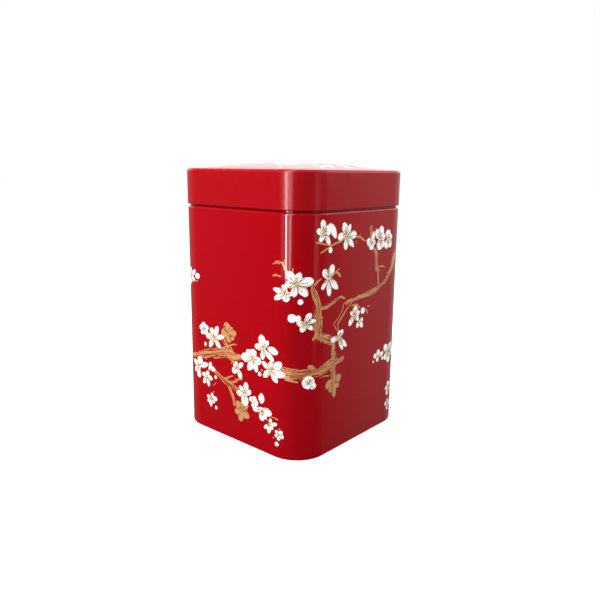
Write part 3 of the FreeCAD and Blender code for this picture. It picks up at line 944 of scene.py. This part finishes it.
brown_ink, tree, shader = new_finish("brown_ink")
varnish_over(tree, shader, (0.07, 0.12), 0.25, ((0.06, 0.03, 0.008), (0.11, 0.055, 0.014)))

for ink, name, finish, slot in (
    (gold, "gold_print", gold_ink, "gold_ink"),
    (gaps, "red_gaps_print", red_gloss, "red_gloss_print"),
    (white, "white_print", white_ink, "white_ink"),
    (fine, "stamen_print", stamen_ink, "gold_ink"),
    (dots, "anther_print", brown_ink, "gold_ink"),
):
    print_twice_round(ink)
    film = make_film(ink, name, finish, on_wall)
    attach(film, "tin")

# ------------------------------------------------------------------ bottom plate
# A plate of bare tinplate with a raised field. Its turned-down edge is gripped in the
# fold at the foot of the wall.
bottom_sheet = bmesh.new()
bend_sheet(
    bottom_sheet, inset=0.405, height=0.31, heading=90,
    moves=[("run", 2.215), ("bend", 0.5, -90), ("run", 5.595), ("bend", 1.0, 45),
           ("bend", 1.0, -45), ("run", 0.5)],
)
carry_round(bottom_sheet)


def close_field(bm, margin=0.5):
    """Fills the open inner edge with a flat field that has a narrow band round it."""
    ends = [corner for corner in bm.verts if corner.is_boundary]
    inner = min(ends, key=lambda corner: max(abs(corner.co.x), abs(corner.co.y)))
    rim = [edge for edge in inner.link_edges if edge.is_boundary]
    for edge in rim:
        for corner in edge.verts:
            rim += [more for more in corner.link_edges if more.is_boundary and more not in rim]
    field = bmesh.ops.contextual_create(bm, geom=rim)["faces"]
    bmesh.ops.inset_region(bm, faces=field, thickness=margin)


close_field(bottom_sheet)
bottom = make_bare_sheet(bottom_sheet, "bottom")
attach(bottom, "tin")
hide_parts("bottom_plate")

# ------------------------------------------------------------------ slip lid
# Drawn from one blank: a curled lower edge, a plain skirt, a flat border and a low
# cushion-shaped top. It is printed in the same red but with a satin varnish.
lid_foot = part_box("slip_lid")[0].z / mm
lid_top = lid_foot + 16.0
dome_half = half_width - 7.0
dome_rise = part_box("slip_lid")[1].z / mm - lid_top
lid_sheet = bmesh.new()
bend_sheet(
    lid_sheet, inset=0.275, height=lid_foot + 0.825, heading=0,
    moves=[("bend", 0.35, -270), ("run", 14.325), ("bend", 1.075, -90), ("run", 5.8)],
)
carry_round(lid_sheet)


def cushion(share):
    """How far the cushion has risen at a share of the way to its middle."""
    return dome_rise * (1 - (1 - share) ** 3)


def cushion_outline(direction, share):
    """Where a line out from the middle meets the cushion's rounded outline."""
    half = dome_half * (1 - share)
    radius = 7.5 * (1 - share) ** 2 + 0.98 * half * share
    straight = half - radius
    x, y = abs(direction.x), abs(direction.y)
    if y > x:
        x, y = y, x
    reach = half / x
    if y * reach > straight:
        along = straight * (x + y)
        reach = along + math.sqrt(max(along**2 - 2 * straight**2 + radius**2, 0))
    return direction * reach


border_end = half_width - 6.8
inner = [end for end in lid_sheet.verts if max(abs(end.co.x), abs(end.co.y)) < border_end]
rim = [
    edge
    for edge in lid_sheet.edges
    if edge.is_boundary and all(end in inner for end in edge.verts)
]
level = rim[0].verts[0].co.z
for share in (0.008, 0.02, 0.045, 0.08, 0.13, 0.19, 0.26, 0.34, 0.43, 0.53, 0.64, 0.76, 0.88, 0.96):
    made = bmesh.ops.extrude_edge_only(lid_sheet, edges=rim)["geom"]
    ring = corners_in(made)
    rim = [
        part
        for part in made
        if isinstance(part, bmesh.types.BMEdge) and all(end in ring for end in part.verts)
    ]
    for corner in ring:
        flat_place = cushion_outline(Vector((corner.co.x, corner.co.y)).normalized(), share)
        corner.co = (flat_place.x, flat_place.y, level + cushion(share))
crown = bmesh.ops.contextual_create(lid_sheet, geom=rim)["faces"]
bmesh.ops.poke(lid_sheet, faces=crown)
for corner in lid_sheet.verts:
    if corner.co.xy.length < 0.01:
        corner.co.z = level + dome_rise
face_outwards(lid_sheet)

satin = (0.19, 0.24)
red_satin, tree, shader = new_finish("red_satin_print")
red = (0.295, 0.0020, 0.0048), (0.312, 0.0026, 0.0060)
varnish_over(tree, shader, satin, 0.3, red, peel=1400.0, mottle=2200.0)
lid = make_piece(lid_sheet, "lid", (red_satin, bare_tin))
give_thickness(lid, True)
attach(lid, "outer_lid")
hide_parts("slip_lid")

# ------------------------------------------------------------------ picture on the lid
# A spray of the same blossom on the cushion, in the same white and gold. Its white has
# the lid's satin varnish, and the gaps in its branches are the lid's own red.
white, gold, fine, dots, gaps = (new_ink() for _ in range(5))
bough(
    [(-29, -20), (-20, -15), (-11, -7), (-2, -2), (8, 3), (17, 11), (24, 20)],
    (1.2, 2.2, 3.0, 3.4, 2.8, 2.0, 0.8),
    0.012,
)
bough([(-11, -7), (-14, 3), (-21, 10), (-24, 18)], (1.8, 1.5, 1.1, 0.5), 0.0125)
bough([(8, 3), (16, -1), (24, -6)], (1.8, 1.3, 0.6), 0.0125)
bough([(-2, -2), (3, -11), (11, -18), (14, -24)], (1.6, 1.4, 1.0, 0.5))
bough([(2, 0), (0, 9), (4, 17), (3, 24)], (1.5, 1.2, 0.9, 0.4))
nick([(-17, -12.6), (-10, -6.6), (-3, -2.6)], (0.2, 0.5, 0.2))
nick([(-1, -1), (6, 2.6), (12, 6.6)], (0.2, 0.5, 0.2))
for x, y, reach, turn in (
    (-22, 15, 5.4, 10),
    (-13, 5, 4.4, 40),
    (-19, -20, 4.8, 25),
    (19, 16, 5.2, 0),
    (23, -8, 5.2, 30),
    (12, -19, 5.0, 50),
    (2, 20, 5.4, 15),
    (6, 8, 4.6, 60),
    (-4, -13, 4.4, 5),
    (11, -5, 4.0, 35),
    (-25, -5, 4.4, 55),
    (24, 6, 4.0, 20),
):
    petals = []
    for number in range(5):
        way = math.radians(turn + 72 * number + ink_round.uniform(-9, 9))
        long = reach * ink_round.uniform(0.88, 1.08)
        petals.append((x + long * math.cos(way), y + long * math.sin(way), long * 0.62))
    blossom((x, y), petals)
for x, y in ((-28, 22), (27, 24), (-7, 24), (16, -27), (-12, -25), (28, -15)):
    bud((x, y), 2.4, 2.2)


def on_cushion(x, y, lift):
    """The place on the lid's cushion over a point, and the way it faces there."""

    def height(x, y):
        spot_out = Vector((x, y)).length
        if spot_out < 0.01:
            return lid_top + dome_rise
        ray = Vector((x, y)).normalized()
        near, far, halvings = 0.0, 1.0, 16
        for _ in range(halvings):
            share = (near + far) / 2
            if cushion_outline(ray, share).length > spot_out:
                near = share
            else:
                far = share
        return lid_top + cushion((near + far) / 2)

    here, probe = height(x, y), 0.2
    slope_x = (height(x + probe, y) - height(x - probe, y)) / (2 * probe)
    slope_y = (height(x, y + probe) - height(x, y - probe)) / (2 * probe)
    outward = Vector((-slope_x, -slope_y, 1)).normalized()
    return Vector((x, y, here)) + outward * lift, outward


white_satin = white_ink.copy()
white_satin.name = "white_ink_satin"
sheen = white_satin.node_tree.nodes["Principled BSDF"].inputs["Roughness"].links[0].from_node
sheen.inputs["To Min"].default_value = satin[0]
sheen.inputs["To Max"].default_value = satin[1]
for ink, name, finish, slot in (
    (gold, "lid_gold_print", gold_ink, "gold_ink"),
    (gaps, "lid_red_gaps_print", red_satin, "red_satin_print"),
    (white, "lid_white_print", white_satin, "white_ink"),
    (fine, "lid_stamen_print", stamen_ink, "gold_ink"),
    (dots, "lid_anther_print", brown_ink, "gold_ink"),
):
    for place in range(-32, 33, 2):
        for way in ((1, 0, 0), (0, 1, 0)):
            cut(ink, (place, place, 0), way)
    film = make_film(ink, name, finish, on_cushion)
    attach(film, "outer_lid")

# ------------------------------------------------------------------ inner lid
# A press-in lid of bare tinplate: a hemmed flange that rests on the rim, a plug wall and
# a sunk panel with a raised field.
flange_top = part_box("inner_lid")[1].z / mm
plug_sheet = bmesh.new()
bend_sheet(
    plug_sheet, inset=2.1, height=flange_top - 0.425, heading=180,
    moves=[("run", 0.85), ("bend", 0.15, -180), ("run", 0.975), ("bend", 0.4, -90), ("run", 6.7),
           ("bend", 0.9, 90), ("run", 3.1), ("bend", 1.0, 45), ("bend", 1.0, -45), ("run", 0.5)],
)
carry_round(plug_sheet)
close_field(plug_sheet)
plug = make_bare_sheet(plug_sheet, "plug_lid_sheet")
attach(plug, "plug_lid")
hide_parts("inner_lid")

# ------------------------------------------------------------------ knob and rivet
# A mushroom knob turned from aluminium stands on the inner lid. A rivet comes up through
# the lid into it, with a low round head underneath.
knob_foot = (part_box("inner_lid_knob")[0] / mm).z
knob_outline = [
    (0.0, 0.0), (4.9, 0.0), (5.1, 0.06), (5.2, 0.22), (5.2, 0.5), (5.12, 0.6), (4.6, 0.95),
    (4.1, 1.35), (3.78, 1.8), (3.62, 2.25), (3.6, 2.5), (3.85, 3.0), (4.4, 3.45), (5.2, 3.82),
    (6.2, 4.05), (7.2, 4.18), (7.42, 4.24), (7.5, 4.4), (7.5, 4.75), (7.42, 4.93), (7.2, 5.0),
    (6.4, 5.27), (5.4, 5.54), (4.2, 5.8), (3.0, 5.99), (1.6, 6.14), (0.0, 6.2),
]


def revolve(outline, foot, steps):
    """Turns an outline of (radius, height over the foot) round the tin's upright axis."""
    bm = bmesh.new()
    tip = None
    for radius, height in outline:
        place = (radius, 0, foot + height)
        tip = next_corner(bm, tip, place) if tip else bm.verts.new(place)
    bmesh.ops.spin(
        bm,
        geom=bm.verts[:] + bm.edges[:],
        cent=(0, 0, 0),
        axis=(0, 0, 1),
        angle=2 * math.pi,
        steps=steps,
        use_merge=True,
    )
    bmesh.ops.remove_doubles(bm, verts=bm.verts, dist=0.001)
    bmesh.ops.recalc_face_normals(bm, faces=bm.faces)
    return bm


turned_metal, tree, shader = new_finish("turned_knob_metal")
shader.inputs["Metallic"].default_value = 1.0
place = new_node(tree, "TexCoord")
parts = new_node(tree, "SeparateXYZ")
tree.links.new(place.outputs["Object"], parts.inputs["Vector"])
along_x, along_y = parts.outputs["X"], parts.outputs["Y"]
square_x = worked_out(tree, "MULTIPLY", along_x, along_x)
square_sum = worked_out(tree, "MULTIPLY_ADD", along_y, along_y, square_x)
rings_at = new_node(tree, "CombineXYZ")
tree.links.new(worked_out(tree, "SQRT", square_sum), rings_at.inputs["X"])
tree.links.new(parts.outputs["Z"], rings_at.inputs["Y"])
rings = new_node(tree, "TexNoise", Scale=3500.0, Detail=2.0)
tree.links.new(rings_at.outputs["Vector"], rings.inputs["Vector"])
metal_tone = two_tones(tree, rings.outputs["Fac"], (0.60, 0.60, 0.60), (0.74, 0.74, 0.73))
tree.links.new(metal_tone, shader.inputs["Base Color"])
spread(tree, rings.outputs["Fac"], shader.inputs["Roughness"], 0.18, 0.34)
raise_with(tree, rings.outputs["Fac"], shader, 0.3, 0.00002)
knob = make_piece(revolve(knob_outline, knob_foot, 72), "knob", (turned_metal,))
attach(knob, "plug_lid")
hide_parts("inner_lid_knob")

rivet_low, rivet_high = (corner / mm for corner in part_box("knob_rivet"))
rivet_height = rivet_high.z - rivet_low.z
head_height, head_radius, shank_radius = 0.9, 2.95, 1.5
rivet_outline = [
    (0.0, 0.0), (0.6, 0.035), (1.3, 0.16), (2.0, 0.37), (2.6, 0.65),
    (head_radius, head_height - 0.04), (head_radius, head_height), (shank_radius, head_height),
    (shank_radius, rivet_height - 0.3), (1.2, rivet_height), (0.0, rivet_height),
]
rivet = make_piece(revolve(rivet_outline, rivet_low.z, 48), "rivet", (bare_tin,))
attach(rivet, "plug_lid")
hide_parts("knob_rivet")

# ------------------------------------------------------------------ table and light
# A plain white table in a white studio, kept white for the camera by a painted glow. The light comes
# from large sheets of cloth over and in front of the tin, with the dark side of the room behind the camera.
table_top = bmesh.new()
bmesh.ops.create_grid(table_top, x_segments=2, y_segments=2, size=4000.0)
table_glow_finish, tree, shader = new_finish("white_table_painted_glow")
shader.inputs["Roughness"].default_value = 0.9
shader.inputs["Specular IOR Level"].default_value = 0.0
shader.inputs["Emission Color"].default_value = (1, 1, 1, 1)
# Bounced light sees the table as a darker grey (0.30) than the camera does (0.92).
rays = new_node(tree, "LightPath")
spread(tree, rays.outputs["Is Diffuse Ray"], shader.inputs["Base Color"], 0.92, 0.30, 0.0, 1.0)
# Painted light: the table glows for camera rays only. The glow is nil within 5 cm of the middle and full
# past 16 cm, which paints a soft shadow round the tin's foot.
place = new_node(tree, "TexCoord")
reach = new_node(tree, "VectorMath")
reach.operation = "LENGTH"
tree.links.new(place.outputs["Object"], reach.inputs[0])
painted_glow = worked_out(tree, "MULTIPLY", rays.outputs["Is Camera Ray"])
spread(tree, reach.outputs["Value"], painted_glow.node.inputs[1], 0.0, 0.64, 0.05, 0.16)
tree.links.new(painted_glow, shader.inputs["Emission Strength"])
table = make_piece(table_top, "table", (table_glow_finish,))
table.visible_glossy = False

studio = bpy.data.worlds.new("studio")
bpy.context.scene.world = studio
studio.use_nodes = True
studio.cycles.sampling_method = "NONE"
tree = studio.node_tree
tree.nodes.clear()
output = new_node(tree, "OutputWorld")
rays = new_node(tree, "LightPath")
way = new_node(tree, "TexCoord")
parts = new_node(tree, "SeparateXYZ")
tree.links.new(way.outputs["Generated"], parts.inputs["Vector"])
turned = worked_out(tree, "ARCTAN2", parts.outputs["Y"], parts.outputs["X"])
bearing = new_node(tree, "MapRange", From_Min=-math.pi, From_Max=math.pi)
tree.links.new(turned, bearing.inputs["Value"])


def room(stops):
    """Brightness round the room, from stops of (degrees from the right, brightness)."""
    ramp = new_node(tree, "ValToRGB")
    elements = ramp.color_ramp.elements
    for number, (degrees, bright) in enumerate(stops):
        at = (degrees + 180) / 360
        element = elements[number] if number < 2 else elements.new(at)
        element.position = at
        element.color = (bright, bright, bright, 1)
    tree.links.new(bearing.outputs["Result"], ramp.inputs["Fac"])
    return ramp.outputs["Color"]


def by_height(colour, low_z, high_z, low_value, high_value):
    """Dims a part of the room towards the floor or the ceiling."""
    dimmed = new_node(tree, "VectorMath")
    dimmed.operation = "SCALE"
    tree.links.new(colour, dimmed.inputs["Vector"])
    spread(tree, parts.outputs["Z"], dimmed.inputs["Scale"], low_value, high_value, low_z, high_z)
    return dimmed.outputs["Vector"]


backdrop = room(
    [(-180, 0.23), (180, 0.23), (-169, 0.22), (-153, 0.16), (-140, 0.05), (-134, 0.0), (20, 0.02),
     (30, 0.07), (47, 0.10), (52, 0.18), (54, 0.32), (57, 0.46), (65, 0.62), (90, 0.60),
     (130, 0.40), (160, 0.26)]
)
window = room(
    [(-112, 0.0), (-66, 0.0), (-107, 0.025), (-99, 0.03), (-94, 0.05), (-93.4, 1.0), (-89.4, 1.0),
     (-88.6, 0.12), (-80.5, 0.08), (-79, 0.22), (-75.5, 0.22), (-74, 0.02)]
)
side_panel = room([(0, 0.0), (24, 0.0), (4, 0.5), (15, 0.45)])
above = room([(-180, 1.0), (180, 1.0), (-150, 0.0), (10, 0.0), (40, 1.0)])
shares = (
    by_height(backdrop, -0.45, -0.10, 0.45, 1.0),
    by_height(window, -0.185, -0.175, 0.0, 24.0),
    by_height(side_panel, -0.35, -0.15, 0.0, 1.0),
    by_height(by_height(above, 0.04, 0.12, 0.0, 1.3), 0.32, 0.6, 1.0, 0.1),
)
mirrored = shares[0]
for share in shares[1:]:
    mirrored = worked_out(tree, "ADD", mirrored, share, kind="VectorMath")


def for_ray(ray, others, own):
    """Shows one colour to a kind of ray and another to all the others."""
    choice = new_node(tree, "Mix")
    choice.data_type = "RGBA"
    tree.links.new(rays.outputs[ray], choice.inputs["Factor"])
    for number, colour in ((first_colour, others), (second_colour, own)):
        if isinstance(colour, tuple):
            choice.inputs[number].default_value = colour
        else:
            tree.links.new(colour, choice.inputs[number])
    return choice.outputs[mixed_colour]


room_grey, plain_white = (0.42, 0.42, 0.42, 1), (1.0, 1.0, 1.0, 1)
lit_room = for_ray("Is Glossy Ray", room_grey, mirrored)
shown_room = for_ray("Is Camera Ray", lit_room, plain_white)
background = new_node(tree, "Background")
tree.links.new(shown_room, background.inputs["Color"])
tree.links.new(background.outputs[0], output.inputs["Surface"])


def soft_light(name, place, aim, width, height, power):
    """A sheet of light that looks at a point and doesn't show in the gloss."""
    lamp = bpy.data.lights.new(name, "AREA")
    lamp.shape = "RECTANGLE"
    lamp.size = width
    lamp.size_y = height
    lamp.energy = power
    light = bpy.data.objects.new(name, lamp)
    bpy.context.scene.collection.objects.link(light)
    light.location = place
    light.rotation_euler = (Vector(aim) - Vector(place)).to_track_quat("-Z", "Y").to_euler()
    light.visible_glossy = False
    light.visible_camera = False


soft_light("overhead_cloth", (0.10, -0.06, 0.48), (0.02, -0.02, 0), 0.8, 0.8, 6.4)
soft_light("front_cloth", (-0.32, -0.44, 0.36), (0, 0, 0.08), 0.30, 0.30, 4.6)

bpy.context.scene.view_settings.view_transform = "Standard"
